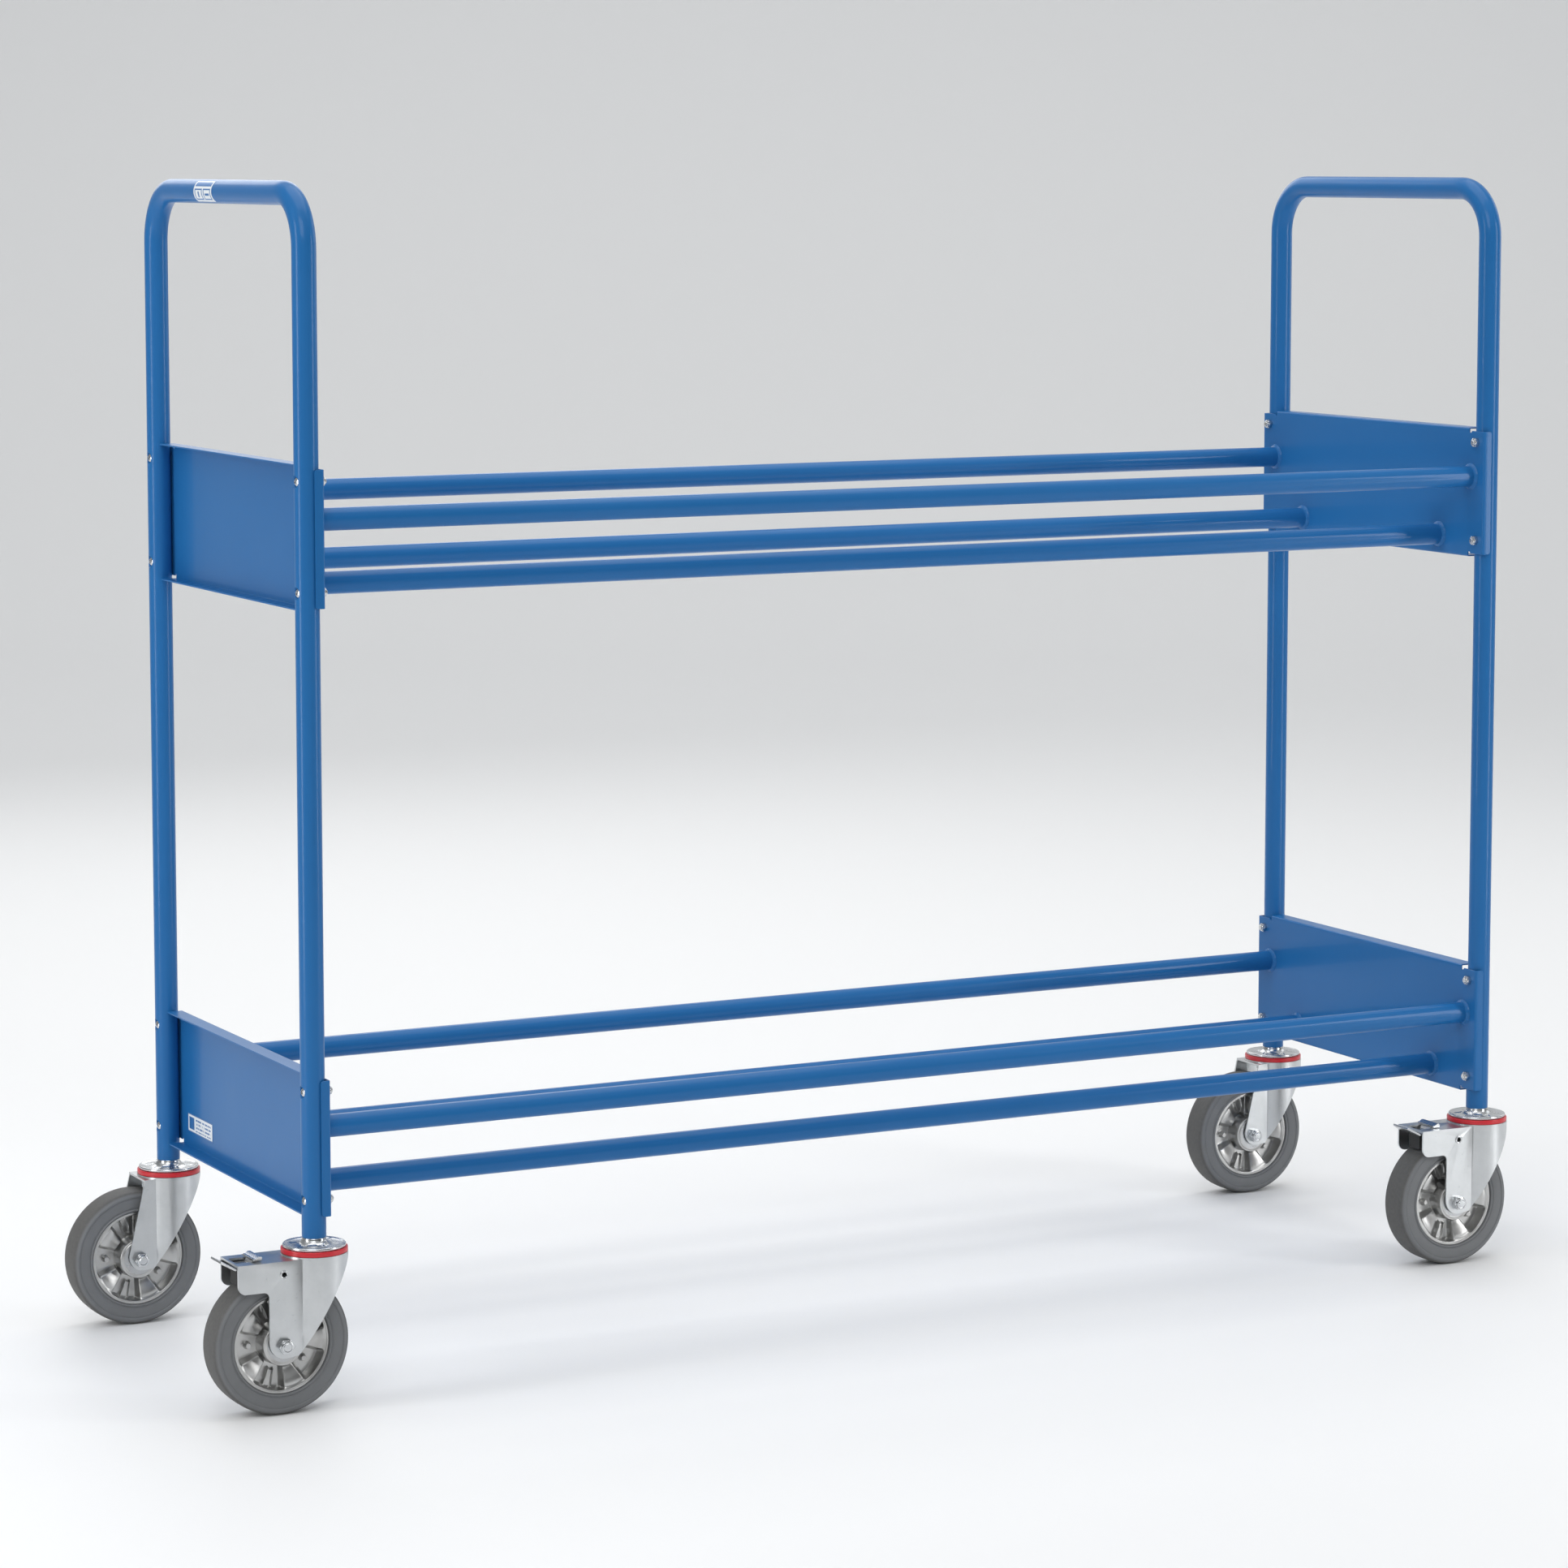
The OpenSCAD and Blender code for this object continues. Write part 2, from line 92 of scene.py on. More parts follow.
def shell(points, wrap_u=False, wrap_v=False, cap_u=False):
    """Faces of a grid of points (nu, nv, 3). Wrapped ways close on themselves, and cap_u closes the first and last
    row, each a ring, by a fan to its mean. Coincident corners are merged; the signed volume turns faces outwards."""
    nu, nv = points.shape[:2]
    index = np.arange(nu * nv).reshape(nu, nv)
    flat = points.reshape(-1, 3)
    a = index if wrap_u else index[:-1]
    b = np.roll(index, -1, 0) if wrap_u else index[1:]
    if wrap_v:
        corners = [a, b, np.roll(b, -1, 1), np.roll(a, -1, 1)]
    else:
        corners = [a[:, :-1], b[:, :-1], b[:, 1:], a[:, 1:]]
    quads = np.stack(corners, -1).reshape(-1, 4)
    tris = np.zeros((0, 3), int)
    if cap_u:
        for row in (index[0], index[-1][::-1]):
            centre = np.full(len(row), len(flat))
            flat = np.vstack([flat, flat[row].mean(0)])
            tris = np.vstack([tris, np.stack([np.roll(row, -1), row, centre], -1)])
    _, first, back = np.unique(np.round(flat, MERGE_DIGITS), axis=0, return_index=True, return_inverse=True)
    flat, back = flat[first], back.reshape(-1)
    quads, tris = back[quads], back[tris]
    for i in range(4):
        same = quads[:, i] == quads[:, (i + 1) % 4]
        keep = [k for k in range(4) if k != i]
        tris = np.vstack([tris, quads[same][:, keep]])
        quads = quads[~same]
    tris = tris[(tris[:, 0] != tris[:, 1]) & (tris[:, 1] != tris[:, 2]) & (tris[:, 0] != tris[:, 2])]
    split = np.vstack([quads[:, [0, 1, 2]], quads[:, [0, 2, 3]], tris])
    p, q, r = (flat[split[:, k]] for k in range(3))
    if np.einsum("ij,ij->i", p, np.cross(q, r)).sum() < 0:
        quads, tris = quads[:, ::-1], tris[:, ::-1]
    return flat, quads, tris


def piece(name, shells, body, material, replaces=(), crease=38.0, attributes=None):
    """One object from closed shells in millimetres; it rides on body and stands for the CAD nodes named. Edges
    sharper than crease stay sharp, and attributes maps a name to a rule that gives each vertex a number."""
    verts, faces, base = [], [], 0
    for flat, quads, tris in shells:
        verts.append(flat)
        faces += (quads + base).tolist() + (tris + base).tolist()
        base += len(flat)
    verts = np.vstack(verts)
    mesh = bpy.data.meshes.new(name)
    mesh.from_pydata((verts * MM).tolist(), [], faces)
    mesh.shade_smooth()
    mesh.set_sharp_from_angle(angle=math.radians(crease))
    for key, rule in (attributes or {}).items():
        layer = mesh.attributes.new(key, "FLOAT", "POINT")
        layer.data.foreach_set("value", rule(verts).astype(np.float32))
    mesh.materials.append(material)
    obj = bpy.data.objects.new(name, mesh)
    bpy.context.scene.collection.objects.link(obj)
    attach(obj, body)
    if replaces:
        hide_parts(*replaces)


def arc(cx, cy, r, a0, a1, n):
    """n + 1 points of a circle of radius r about (cx, cy), from angle a0 to a1 in degrees."""
    a = np.radians(np.linspace(a0, a1, n + 1))
    return np.stack([cx + r * np.cos(a), cy + r * np.sin(a)], -1)


def chain(*parts):
    """Profile points joined end to end."""
    return np.vstack([np.atleast_2d(np.asarray(p, float)) for p in parts])


def revolved(radius, height, origin, axis, wrap_v=False):
    """Points at angle a and station j, radius(a, j) away from an axis through origin and height(a, j) along it."""
    a = np.linspace(0, 2 * np.pi, len(radius), endpoint=False)[:, None]
    first, second = radius * np.cos(a), radius * np.sin(a)
    grid = {"x": [height, first, second], "y": [first, height, second], "z": [first, second, height]}[axis]
    return shell(np.stack(grid, -1) + np.asarray(origin, float), wrap_u=True, wrap_v=wrap_v)


def spread(stations, n):
    """Radius and height at n angles, from stations (radius, height) that hold numbers or a column of n values."""
    one = np.ones((n, 1))
    return [np.hstack([one * station[i] for station in stations]) for i in (0, 1)]


def turned(profile, origin, axis, n, wrap_v=False):
    """A profile of (radius, height) points turned round an axis in n steps."""
    radius, height = spread(profile, n)
    return revolved(radius, height, origin, axis, wrap_v)


def hex_radius(across, n):
    """Distance from the centre to a hexagon's edge at n angles, as a column; across is measured over the flats."""
    a = np.linspace(0, 360, n, endpoint=False)
    return ((across / 2) / np.cos(np.radians((a % 60) - 30)))[:, None]


# ---------------------------------------------------------------- shader expressions
class Value:
    """A number, vector or colour on a node socket; operators add Math nodes."""

    def __init__(self, tree, socket):
        self.tree, self.socket = tree, socket

    def __add__(self, o): return self.tree.math("ADD", self, o)
    def __radd__(self, o): return self.tree.math("ADD", self, o)
    def __sub__(self, o): return self.tree.math("SUBTRACT", self, o)
    def __rsub__(self, o): return self.tree.math("SUBTRACT", o, self)
    def __mul__(self, o): return self.tree.math("MULTIPLY", self, o)
    def __rmul__(self, o): return self.tree.math("MULTIPLY", self, o)
    def __lt__(self, o): return self.tree.math("LESS_THAN", self, o)
    def __gt__(self, o): return self.tree.math("GREATER_THAN", self, o)

    def within(self, low, high):
        """1 between low and high, 0 outside."""
        return (self > low) * (self < high)

    def step(self, low, high):
        """0 at low, 1 at high, smooth between."""
        return self.tree.node("ShaderNodeMapRange", {"interpolation_type": "SMOOTHSTEP"},
                              [self, low, high, 0.0, 1.0])


class Tree:
    """A node tree whose nodes are made, set and linked in one call each."""

    def __init__(self, tree):
        self.nodes, self.links = tree.nodes, tree.links

    def put(self, socket, value):
        """Links a Value to the socket, or sets the socket to a plain number or colour."""
        if isinstance(value, Value):
            self.links.new(value.socket, socket)
        else:
            socket.default_value = value

    def node(self, kind, settings=None, inputs=(), out=0):
        """Any node: its settings are set first, then its sockets get numbers, colours or links."""
        made = self.nodes.new(kind)
        for key, value in (settings or {}).items():
            setattr(made, key, value)
        pairs = inputs.items() if isinstance(inputs, dict) else enumerate(inputs)
        for key, value in pairs:
            self.put(made.inputs[key], value)
        return Value(self, made.outputs[out])

    def math(self, operation, *values):
        return self.node("ShaderNodeMath", {"operation": operation}, values)

    def ramp(self, factor, stops):
        """A colour ramp; each stop is a position and a colour."""
        made = self.nodes.new("ShaderNodeValToRGB")
        elements = made.color_ramp.elements
        while len(elements) < len(stops):
            elements.new(0.5)
        for element, (at, colour) in zip(elements, stops):
            element.position, element.color = at, (*colour, 1.0)
        self.put(made.inputs[0], factor)
        return Value(self, made.outputs[0])


class Finish(Tree):
    """A material's node tree with one Principled shader."""

    def __init__(self, name):
        self.material = bpy.data.materials.new(name)
        self.material.use_nodes = True
        super().__init__(self.material.node_tree)
        self.shader = self.nodes["Principled BSDF"]

    def noise(self, scale, detail=3.0, roughness=0.5, at=None):
        """Noise round 0.5, read at the object's own coordinates unless another place is given."""
        place = at or self.node("ShaderNodeTexCoord", out="Object")
        return self.node("ShaderNodeTexNoise", {}, {"Vector": place, "Scale": scale, "Detail": detail,
                                                    "Roughness": roughness})

    def attribute(self, name):
        return self.node("ShaderNodeAttribute", {"attribute_name": name}, out="Fac")

    def mix(self, factor, a, b):
        """Colour a where factor is 0 and b where it is 1."""
        made = self.nodes.new("ShaderNodeMix")
        made.data_type = "RGBA"
        self.put(made.inputs["Factor"], factor)
        for socket, value in ((made.inputs[6], a), (made.inputs[7], b)):  # the two colour sockets
            self.put(socket, value if isinstance(value, Value) else (*value, 1.0))
        return Value(self, made.outputs[2])

    def bump(self, height, strength, distance):
        """A normal from a height; distance is in metres."""
        return self.node("ShaderNodeBump", {}, {"Height": height, "Strength": strength, "Distance": distance})

    def set(self, **sockets):
        """Fills the shader's sockets, with _ for a space in their names, and gives the material."""
        for key, value in sockets.items():
            if isinstance(value, tuple) and len(value) == 3:
                value = (*value, 1.0)
            self.put(self.shader.inputs[key.replace("_", " ")], value)
        return self.material


# ---------------------------------------------------------------- finishes
def blue_coat():
    """Glossy powder coat: faint orange peel, slight cloudiness of the colour."""
    f = Finish("blue_powder_coat")
    cloud = f.noise(3.0, detail=4.0)
    peel = f.noise(420.0, detail=2.0)
    colour = f.mix(cloud, (0.014, 0.128, 0.355), (0.020, 0.148, 0.395))
    rough = 0.26 + 0.08 * f.noise(9.0)
    f.set(Base_Color=colour, Roughness=rough, Normal=f.bump(peel, strength=0.05, distance=0.0004))
    return f.set(Specular_IOR_Level=0.16, Coat_Weight=0.14, Coat_Roughness=0.05)


def zinc():
    """Bright zinc plating: cloudy brightness and fine scratches."""
    f = Finish("bright_zinc")
    cloud = f.noise(28.0, detail=5.0, roughness=0.6)
    grain = f.noise(900.0, detail=2.0)
    colour = f.mix(cloud, (0.50, 0.52, 0.54), (0.72, 0.73, 0.74))
    rough = 0.16 + 0.14 * f.noise(60.0, detail=4.0)
    return f.set(Base_Color=colour, Roughness=rough, Metallic=1.0,
                 Normal=f.bump(grain, strength=0.06, distance=0.0003))


def satin_zinc():
    """Zinc on pressed sheet: matt, speckled and softly streaked."""
    f = Finish("satin_zinc")
    cloud = f.noise(22.0, detail=6.0, roughness=0.65)
    grain = f.noise(520.0, roughness=0.6)
    spot = f.noise(140.0, detail=2.0).step(0.66, 0.76)
    colour = f.mix(cloud, (0.50, 0.52, 0.53), (0.70, 0.715, 0.725))
    colour = f.mix(spot * 0.35, colour, (0.42, 0.44, 0.46))
    rough = 0.24 + 0.16 * f.noise(75.0, detail=4.0)
    return f.set(Base_Color=colour, Roughness=rough, Metallic=1.0,
                 Normal=f.bump(grain, strength=0.12, distance=0.0005))


def cast_aluminium():
    """Die-cast aluminium: bright, flow-marked and a little stained in the pockets."""
    f = Finish("cast_aluminium")
    flow = f.noise(45.0, detail=5.0, roughness=0.6)
    stain = f.noise(17.0).step(0.52, 0.74)
    colour = f.mix(flow, (0.44, 0.44, 0.435), (0.60, 0.60, 0.59))
    colour = f.mix(stain * 0.5, colour, (0.26, 0.25, 0.24))
    rough = 0.24 + 0.16 * flow
    return f.set(Base_Color=colour, Roughness=rough, Metallic=1.0,
                 Normal=f.bump(f.noise(320.0), strength=0.10, distance=0.0004))


def grey_rubber():
    """Grey non-marking rubber: the tread is scuffed darker, and the sidewall has a dusty bloom."""
    f = Finish("grey_rubber")
    tread = f.attribute("tread")
    dust = f.noise(38.0, detail=5.0, roughness=0.65)
    scuff = f.noise(210.0)
    side = f.mix(dust, (0.138, 0.144, 0.151), (0.180, 0.187, 0.195))
    worn = f.mix(scuff, (0.075, 0.075, 0.073), (0.120, 0.119, 0.116))
    colour = f.mix(tread, side, worn)
    rough = 0.48 + 0.16 * dust + 0.1 * tread
    return f.set(Base_Color=colour, Roughness=rough, Normal=f.bump(scuff, strength=0.10, distance=0.0004))


def red_plastic():
    """Smooth red plastic of the dust seals."""
    f = Finish("red_seal_plastic")
    cloud = f.noise(60.0)
    colour = f.mix(cloud, (0.52, 0.012, 0.022), (0.62, 0.02, 0.032))
    return f.set(Base_Color=colour, Roughness=0.24 + 0.12 * cloud,
                 Normal=f.bump(f.noise(700.0), strength=0.05, distance=0.0003))


def ground_steel():
    """Bare ground steel of balls and bearings."""
    f = Finish("ground_steel")
    cloud = f.noise(90.0, detail=4.0)
    colour = f.mix(cloud, (0.42, 0.43, 0.44), (0.55, 0.56, 0.57))
    return f.set(Base_Color=colour, Roughness=0.22 + 0.14 * cloud, Metallic=1.0,
                 Normal=f.bump(f.noise(800.0), strength=0.05, distance=0.0002))


def black_rubber():
    """Dull black rubber of the brake shoes."""
    f = Finish("black_rubber")
    cloud = f.noise(110.0, detail=4.0)
    colour = f.mix(cloud, (0.016, 0.016, 0.016), (0.035, 0.035, 0.035))
    return f.set(Base_Color=colour, Roughness=0.6 + 0.2 * cloud,
                 Normal=f.bump(f.noise(500.0), strength=0.12, distance=0.0004))


FILM_WHITE = (0.80, 0.83, 0.85)


def handle_film():
    """White film with a blue band and two plain pictogram blocks; u runs along the bar, v round it."""
    f = Finish("handle_film")
    u, v = f.attribute("along"), f.attribute("around")
    band = v.within(0.72, 0.94) * u.within(0.05, 0.95)
    ink = band
    for outer, inner in (((0.06, 0.47), (0.10, 0.43)), ((0.53, 0.94), (0.57, 0.90))):
        ink = ink + u.within(*outer) * v.within(0.12, 0.62) - u.within(*inner) * v.within(0.18, 0.56)
    ink = ink + u.within(0.62, 0.85) * v.within(0.32, 0.42) + u.within(0.23, 0.30) * v.within(0.24, 0.50)
    colour = f.mix(ink, FILM_WHITE, (0.03, 0.16, 0.42))
    return f.set(Base_Color=colour, Roughness=0.28 + 0.08 * f.noise(60.0))


def data_film():
    """White plate film with a border, a solid block and rows of short bars; no lettering."""
    f = Finish("data_film")
    u, v = f.attribute("along"), f.attribute("around")
    border = 1.0 - u.within(0.02, 0.98) * v.within(0.06, 0.94)
    block = u.within(0.06, 0.26) * v.within(0.18, 0.82)
    rows = v * 5.0
    scatter = f.node("ShaderNodeCombineXYZ", {}, [u * 26.0, f.math("FLOOR", rows) * 7.3, 0.0])
    bars = (f.math("FRACT", rows) > 0.55) * (f.noise(1.0, detail=2.0, at=scatter) > 0.46)
    ink = border + block + bars * u.within(0.32, 0.93) * v.within(0.14, 0.90)
    colour = f.mix(f.math("MINIMUM", ink, 1.0), FILM_WHITE, (0.035, 0.15, 0.38))
    return f.set(Base_Color=colour, Roughness=0.25 + 0.08 * f.noise(60.0))


BLUE, ZINC, SATIN, ALU = blue_coat(), zinc(), satin_zinc(), cast_aluminium()
GREY, RED, STEEL, BLACK = grey_rubber(), red_plastic(), ground_steel(), black_rubber()
HANDLE, DATA = handle_film(), data_film()
CAD_FINISHES = {"blue_coat": BLUE, "zinc": ZINC, "steel": STEEL, "cast_alu": ALU, "grey_rubber": GREY,
                "black_rubber": BLACK, "red_plastic": RED, "label": DATA}
for part in frame["record"]["subparts"]:
    node = frame["nodes"][part["node"]]
    node.data.materials.clear()
    node.data.materials.append(CAD_FINISHES[part["material_slot"]])


# ---------------------------------------------------------------- end frames
def end_frame(side):
    """A circle of the tube's radius carried along leg, quarter bend, bar, quarter bend and leg, closed by a short
    inner lip at both feet. Near a screw site the end side is pressed in to a round flat seat."""
    chamfer, lip_r, lip_h = 0.6, 15.0, 12
    seat_r, dent_r, dent_depth = 6.9, 9.4, 6.0
    bends = np.radians(np.linspace(0, 90, 19))[1:-1]
    sites = [base + h for base in LEVELS.values() for h in BOLT_H]
    rows = [FOOT_Z, FOOT_Z + chamfer, FOOT_Z + 1.5]
    for site in sites:
        rows += list(site + np.linspace(-11, 11, 34))
    rows = np.unique(np.concatenate([rows, np.linspace(FOOT_Z + 10, TOP_Z - BEND_R, 24)]))
    leg = np.stack([np.full(len(rows), -LEG_Y), rows], -1)
    turn = np.stack([-LEG_Y + BEND_R * (1 - np.cos(bends)), TOP_Z - BEND_R + BEND_R * np.sin(bends)], -1)
    bar = np.stack([np.linspace(-LEG_Y + BEND_R, LEG_Y - BEND_R, 9), np.full(9, TOP_Z)], -1)
    half = chain(leg, turn)
    path = chain(half, bar, half[::-1] * (-1, 1))
    ahead = np.gradient(path, axis=0)
    ahead /= np.linalg.norm(ahead, axis=1)[:, None]
    radius = np.full(len(path), LEG_R)
    radius[[0, -1]] -= chamfer
    lip = ([-LEG_Y, FOOT_Z + lip_h], [LEG_Y, FOOT_Z + lip_h])
    path = chain(lip[0], lip[0], [-LEG_Y, FOOT_Z], path, [LEG_Y, FOOT_Z], lip[1], lip[1])
    ahead = chain([[0, 1]] * 3, ahead, [[0, -1]] * 3)
    radius = np.concatenate([[0, lip_r, lip_r], radius, [lip_r, lip_r, 0]])
    fine, coarse = np.linspace(-40, 40, 100), np.linspace(40, 320, 50)[1:-1]
    a = np.radians(np.concatenate([fine, coarse]))[None, :]
    out, across = radius[:, None] * np.cos(a), radius[:, None] * np.sin(a)
    y = path[:, :1] - ahead[:, 1:] * across
    z = path[:, 1:] + ahead[:, :1] * across
    for site in sites:
        away = np.hypot(np.abs(y) - LEG_Y, z - site)
        seat = SEAT_X + dent_depth * smooth_step(away, seat_r, dent_r)
        out = np.where((out > 0) & (away < dent_r), np.minimum(out, seat), out)
    return shell(np.stack([side * (END_X + out), y, z], -1), wrap_v=True)


for label, side in SIDES.items():
    piece(f"{label}_frame_tube", [end_frame(side)], "rack", BLUE, [f"{label}_end_frame"])


# ---------------------------------------------------------------- panels
PANEL_MID = LEG_R + SHEET / 2  # the sheet's middle, inboard of the leg axis
FOLD_R = 2.0


def normals_of(line):
    """Unit normals of a line of 2D points, to the right of its direction."""
    t = np.gradient(line, axis=0)
    t /= np.linalg.norm(t, axis=1)[:, None]
    return np.stack([t[:, 1], -t[:, 0]], -1)


def panel_line():
    """Middle line of the web and its two outward flanges: x inboard from the leg axis, y up."""
    half_sheet = SHEET / 2
    edge = LEG_R + SHEET - FLANGE
    fold = PANEL_MID - FOLD_R
    low = chain([edge, half_sheet], [edge + 1, half_sheet], [fold - 4, half_sheet],
                arc(fold, half_sheet + FOLD_R, FOLD_R, -90, 0, 8))
    high = (low * (1, -1) + (0, PANEL_H))[::-1]
    return chain(low, [PANEL_MID, 8.0], [PANEL_MID, PANEL_H / 2], [PANEL_MID, PANEL_H - 8.0], high)


def panel(side, base):
    """The section carried along Y between the relief notches, and a plate past each leg whose lower and upper edge
    is a notch arc and then a straight step; the plate turns outboard in a small bend at its far end. Every station
    of a line is a closed loop round the sheet's thickness, with slightly rounded corners."""
    skin, soft = 1.0, 0.6       # half the sheet, and the same inside the rounded edge
    web_end, plate_end = 270, 308
    notch_y, notch_r, step_h = 272.5, 4.0, 5.0
    line = panel_line()
    n = normals_of(line)
    along = np.linspace(-web_end + 0.4, web_end - 0.4, 9)
    loop = [(skin, y) for y in along] + [(soft, web_end), (-soft, web_end)]
    loop += [(-skin, y) for y in along[::-1]] + [(-soft, -web_end), (soft, -web_end)]
    body = np.stack([np.stack([side * (END_X - line[:, 0] - n[:, 0] * o), np.full(len(line), float(y)),
                               base + line[:, 1] + n[:, 1] * o], -1) for o, y in loop], 1)
    shells = [shell(body, wrap_v=True, cap_u=True)]

    past_notch = np.stack([np.full(14, PANEL_MID), np.linspace(269.5, 277.5, 14)], -1)
    fold = PANEL_MID - FOLD_R
    lip = [[x, plate_end] for x in (fold - 4, PANEL_MID - 9.5, PANEL_MID - 12.0, PANEL_MID - 12.8,
                                    PANEL_MID - 13)]
    plan = chain(past_notch, [PANEL_MID, 285], [PANEL_MID, 300],
                 arc(fold, plate_end - FOLD_R, FOLD_R, 0, 90, 8), lip)
    n = normals_of(plan)
    y = plan[:, 1]
    notch = notch_r + np.sqrt(np.clip(notch_r ** 2 - (y - notch_y) ** 2, 0, None))
    run = np.concatenate([[0], np.cumsum(np.linalg.norm(np.diff(plan, axis=0), axis=1))])
    past = np.clip(run - (run[-1] - notch_r), 0, notch_r)
    rounding = notch_r - np.sqrt(np.clip(notch_r ** 2 - past ** 2, 0, None))
    low = np.where(y < 276.4, np.maximum(notch, step_h), step_h) + rounding
    ring = [(skin, low + 0.4), (soft, low), (-soft, low), (-skin, low + 0.4)]
    ring += [(o, PANEL_H - z) for o, z in ring[::-1]]
    for s in (-1, 1):
        grid = np.stack([np.stack([side * (END_X - (plan[:, 0] + n[:, 0] * o)), s * (plan[:, 1] + n[:, 1] * o),
                                   base + z], -1) for o, z in ring], 1)
        shells.append(shell(grid, wrap_v=True, cap_u=True))
    return shells


for level, base in LEVELS.items():
    for label, side in SIDES.items():
        piece(f"{level}_{label}_pressed_panel", panel(side, base), "rack", BLUE,
              [f"{level}_{label}_panel"], crease=30)


# ---------------------------------------------------------------- rails and welds
def rail(y, z):
    """A circle carried along X, with a short inner lip at both open ends."""
    lip_r, lip_x = 13.9, RAIL_HALF - 15
    tube = np.stack([np.full(25, RAIL_R), np.linspace(-RAIL_HALF, RAIL_HALF, 25)], -1)
    profile = chain([0, -lip_x], [lip_r, -lip_x], tube, [lip_r, lip_x], [0, lip_x])
    return turned(profile, (0, y, z), "x", 56)


def bead(side, y, z, seed):
    """A fillet turned round the rail's end; its size swells and shrinks as overlapping scales of weld do."""
    rng = np.random.default_rng(seed)
    n, gap, root = 144, 0.05, 0.4
    a = np.linspace(0, 2 * np.pi, n, endpoint=False)
    slow = sum(rng.normal(0, 0.22) * np.cos(k * a + rng.uniform(0, 6.28)) for k in range(1, 6))
    scales = 0.30 * np.abs(np.sin(15 * a + rng.uniform(0, 6.28) + 0.8 * slow))
    size = np.clip(4.1 + 0.55 * slow + scales, 3.2, 4.95)[:, None]
    t = np.linspace(0, 1, 9)[None, :]
    bulge = 0.5 * np.sin(np.pi * t) * size * 0.25
    radius = RAIL_R - gap + size * (1 - t) + bulge * 0.5
    height = -gap - size * t - bulge * 0.5
    inner = np.full((n, 1), RAIL_R - root)
    radius = np.hstack([inner, radius, inner])
    height = np.hstack([np.full((n, 1), -gap), height, -size - gap])
    return revolved(radius, side * (RAIL_HALF + height), (0, y, z), "x", wrap_v=True)


beads, seed = [], 1
for level, base in LEVELS.items():
    for place, s in (("front", -1), ("rear", 1)):
        for kind, (y, h) in RAILS.items():
            piece(f"{level}_{place}_{kind}_tube", [rail(s * y, base + h)], "rack", BLUE,
                  [f"{level}_{place}_{kind}_rail"])
            for side in SIDES.values():
                beads.append(bead(side, s * y, base + h, seed))
                seed += 1
piece("weld_fillets", beads, "rack", BLUE, ["rail_weld_beads"], crease=60)


# ---------------------------------------------------------------- panel fasteners
def button_head(side, y, z):
    """Button head turned round X with a hexagonal socket, and its shank running inboard to a chamfered end."""
    n, shank_r, shank_end, head_h = 96, 4.0, -40.5, 4.25
    dome = chain([6.75, 0.0], [7.0, 0.25], [7.0, 0.9], arc(0, -5.2, 9.55, 43, 72, 8))
    socket = hex_radius(5.2, n)
    radius, height = spread([
        (0, shank_end), (shank_r - 0.8, shank_end), (shank_r, shank_end + 0.8), (shank_r, 0), *dome,
        (socket + 0.25, head_h), (socket, head_h - 0.25), (socket, 1.8), (0, 1.3)], n)
    return revolved(radius, side * (END_X + SEAT_X + height), (0, y, z), "x")


def hex_nut(at, height, across, origin, axis, way, bore, collar=2.0):
    """Hexagon whose corners are cut by a 30 degree cone on both faces, with a round collar holding the locking
    ring. It stands on at and grows towards way along the axis."""
    n, edge, top = 96, across / 2, height - collar
    hexagon = hex_radius(across, n)
    cut = np.minimum(hexagon, edge * 1.01)
    drop = np.clip(hexagon - edge, 0, None) * 0.58
    radius, rise = spread([
        (bore, 0), (edge * 0.96, 0), (cut, 0.02), (hexagon, 0.1 + drop), (hexagon, top - 0.1 - drop),
        (cut, top - 0.02), (edge * 0.93, top), (edge * 0.90, height - 0.7), (edge * 0.80, height - 0.1),
        (edge * 0.68, height), (bore, height - 0.2)], n)
    return revolved(radius, at + way * rise, origin, axis, wrap_v=True)


heads, nuts = [], []
for side in SIDES.values():
    for base in LEVELS.values():
        for s in (-1, 1):
            for h in BOLT_H:
                site = (0, s * LEG_Y, base + h)
                heads.append(button_head(side, s * LEG_Y, base + h))
                nuts.append(hex_nut(side * (END_X - LEG_R - SHEET), 8.0, 13.0, site, "x", -side, 4.06))
piece("panel_screws", heads, "rack", ZINC, ["panel_bolts"])
piece("panel_lock_nuts", nuts, "rack", ZINC, ["panel_nuts"])


# ---------------------------------------------------------------- films
def film(points, thickness):
    """A thin closed slab: a grid of points, and the same grid moved by a vector or a grid of them."""
    loop = np.concatenate([points, (points + thickness)[:, ::-1]], 1)
    return shell(loop, wrap_v=True, cap_u=True)


def share(values, ends):
    """0 at the first end and 1 at the second."""
    return (values - ends[0]) / (ends[1] - ends[0])


def round_bar(v):
    """Angle of points round the left top bar in degrees, 0 on its outer side."""
    return np.degrees(np.arctan2(v[:, 2] - TOP_Z, -v[:, 0] - END_X))


film_y = np.linspace(*HANDLE_Y, 24)[:, None]
angles = np.radians(180 + np.linspace(*HANDLE_WRAP, 40))
bar_x, bar_z = np.cos(angles)[None, :], np.sin(angles)[None, :]
film_r = LEG_R + 0.02
inner = np.stack([-END_X + film_r * bar_x + 0 * film_y, film_y + 0 * bar_x, TOP_Z + film_r * bar_z + 0 * film_y], -1)
outward = 0.25 * np.stack([bar_x, 0 * bar_x, bar_z], -1)
piece("handle_pictogram_film", [film(inner, outward)], "rack", HANDLE, ["handle_label"], attributes={
    "along": lambda v: share(v[:, 1], HANDLE_Y),
    "around": lambda v: share(round_bar(v), HANDLE_WRAP)})
gy, gz = np.meshgrid(np.linspace(*DATA_Y, 12), np.linspace(*DATA_Z, 6), indexing="ij")
